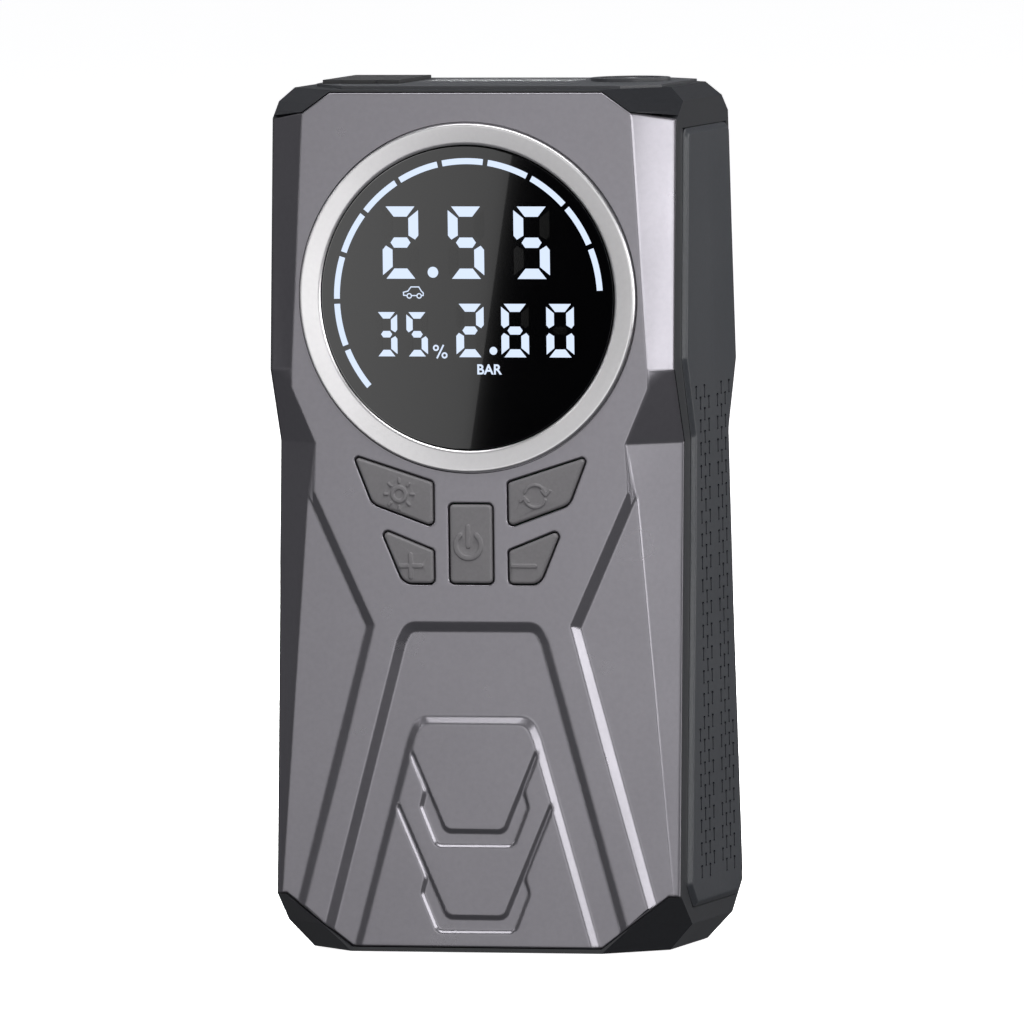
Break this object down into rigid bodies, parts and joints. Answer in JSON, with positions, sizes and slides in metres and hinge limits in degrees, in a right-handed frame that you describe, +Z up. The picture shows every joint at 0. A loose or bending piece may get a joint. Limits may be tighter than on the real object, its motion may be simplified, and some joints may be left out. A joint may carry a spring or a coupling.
{
  "type": "jump starter pack",
  "caption": "Upright handheld car battery jump starter with built-in tyre inflator: round display, angular keys, faceted cover, side vent panels, top socket flap, lamp and air port.",
  "frame": {"origin": "middle of the footprint, on the surface the pack stands on", "axes": "+Z up the tall axis of the pack, -Y out of the display face, +X to the right seen from the front"},
  "size_m": [0.0926, 0.0564, 0.1864],
  "materials": {
    "cover_paint": "satin metallic",
    "case_plastic": "fine moulded texture",
    "panel_plastic": "fine moulded texture",
    "deck_plastic": "fine moulded texture",
    "ring_silver": "satin",
    "lens_dark": "polished",
    "key_rubber": "matte",
    "flap_rubber": "matte",
    "pad_rubber": "matte",
    "foam": "open cell",
    "board_green": "solder mask",
    "module_white": "moulded",
    "switch_black": "moulded",
    "screw_steel": "black zinc",
    "cell_foil": "foil pouch",
    "tray_plastic": "moulded",
    "nickel": "bright nickel",
    "chip_black": "moulded",
    "capacitor_sleeve": "sleeve",
    "socket_blue": "moulded",
    "gold_contact": "plated",
    "port_steel": "plated",
    "lamp_clear": "clear moulded",
    "reflector_chrome": "metallised",
    "led_yellow": "phosphor",
    "outlet_metal": "nickel plated",
    "pump_alloy": "die cast",
    "frame_steel": "pressed",
    "bronze": "sintered",
    "gear_steel": "sintered",
    "pinion_brass": "cut",
    "magnet": "ferrite",
    "rotor_copper": "wound",
    "seal_rubber": "smooth",
    "piston_plastic": "filled nylon"
  },
  "bodies": {
    "case": {"front_cover": "cover_paint", "rear_case": "case_plastic", "side_panel_right": "panel_plastic", "side_panel_left": "panel_plastic", "top_panel": "deck_plastic", "display_bezel": "ring_silver", "display_lens": "lens_dark", "display_gasket": "foam", "display_module": "module_white", "control_pcb": "board_green", "pcb_screws": "screw_steel", "tact_switches": "switch_black", "battery_cells": "cell_foil", "foam_pads": "foam", "battery_tray": "tray_plastic", "busbars": "nickel", "main_pcb": "board_green", "power_mosfets": "chip_black", "capacitors": "capacitor_sleeve", "jump_socket": "socket_blue", "jump_contacts": "gold_contact", "usb_a_port": "port_steel", "usb_c_port": "port_steel", "usb_board": "board_green", "led_lens": "lamp_clear", "led_reflector": "reflector_chrome", "led_board": "board_green", "led_chips": "led_yellow", "motor_can": "frame_steel", "motor_end_cap": "switch_black", "motor_magnets": "magnet", "pump_frame": "frame_steel", "crank_bush": "bronze", "pump_cylinder": "pump_alloy", "head_gasket": "seal_rubber", "cylinder_head": "pump_alloy", "pump_screws": "screw_steel", "pressure_sensor": "chip_black", "pump_grommets": "pad_rubber", "air_outlet": "outlet_metal", "outlet_nut": "outlet_metal", "case_screws": "screw_steel", "rear_pads": "pad_rubber"},
    "light_key": {"button_light": "key_rubber"},
    "plus_key": {"button_plus": "key_rubber"},
    "power_key": {"button_power": "key_rubber"},
    "mode_key": {"button_mode": "key_rubber"},
    "minus_key": {"button_minus": "key_rubber"},
    "socket_cover": {"socket_flap": "flap_rubber"},
    "usb_cover": {"usb_flap": "flap_rubber"},
    "rotor": {"motor_rotor": "rotor_copper", "motor_pinion": "pinion_brass"},
    "crank": {"crank_gear": "gear_steel", "crank_pin": "screw_steel"},
    "piston_rod": {"piston": "piston_plastic", "piston_seal": "seal_rubber", "wrist_pin": "screw_steel", "connecting_rod": "pump_alloy"}
  },
  "joints": [
    {"name": "light_press", "type": "slide", "parent": "case", "child": "light_key", "axis": [0, 1, 0], "range_m": [0, 0.0006], "stiffness_N_per_m": 800},
    {"name": "plus_press", "type": "slide", "parent": "case", "child": "plus_key", "axis": [0, 1, 0], "range_m": [0, 0.0006], "stiffness_N_per_m": 800},
    {"name": "power_press", "type": "slide", "parent": "case", "child": "power_key", "axis": [0, 1, 0], "range_m": [0, 0.0006], "stiffness_N_per_m": 800},
    {"name": "mode_press", "type": "slide", "parent": "case", "child": "mode_key", "axis": [0, 1, 0], "range_m": [0, 0.0006], "stiffness_N_per_m": 800},
    {"name": "minus_press", "type": "slide", "parent": "case", "child": "minus_key", "axis": [0, 1, 0], "range_m": [0, 0.0006], "stiffness_N_per_m": 800},
    {"name": "socket_cover_hinge", "type": "hinge", "parent": "case", "child": "socket_cover", "pos_m": [-0.0285, 0.0155, 0.18585], "axis": [-1, 0, 0], "range_deg": [0, 110]},
    {"name": "usb_cover_hinge", "type": "hinge", "parent": "case", "child": "usb_cover", "pos_m": [-0.04575, 0.006, 0.1395], "axis": [0, 0, -1], "range_deg": [0, 110]},
    {"name": "rotor_spin", "type": "hinge", "parent": "case", "child": "rotor", "pos_m": [0, 0.005, 0.1024], "axis": [1, 0, 0], "continuous": true},
    {"name": "crank_spin", "type": "hinge", "parent": "case", "child": "crank", "pos_m": [0, 0.005, 0.124], "axis": [1, 0, 0], "continuous": true},
    {"name": "piston_stroke", "type": "slide", "parent": "case", "child": "piston_rod", "axis": [0, 0, 1], "range_m": [-0.012, 0]}
  ],
  "couplings": [
    {"joint": "rotor_spin", "follows": "crank_spin", "ratio": -4.4}
  ]
}
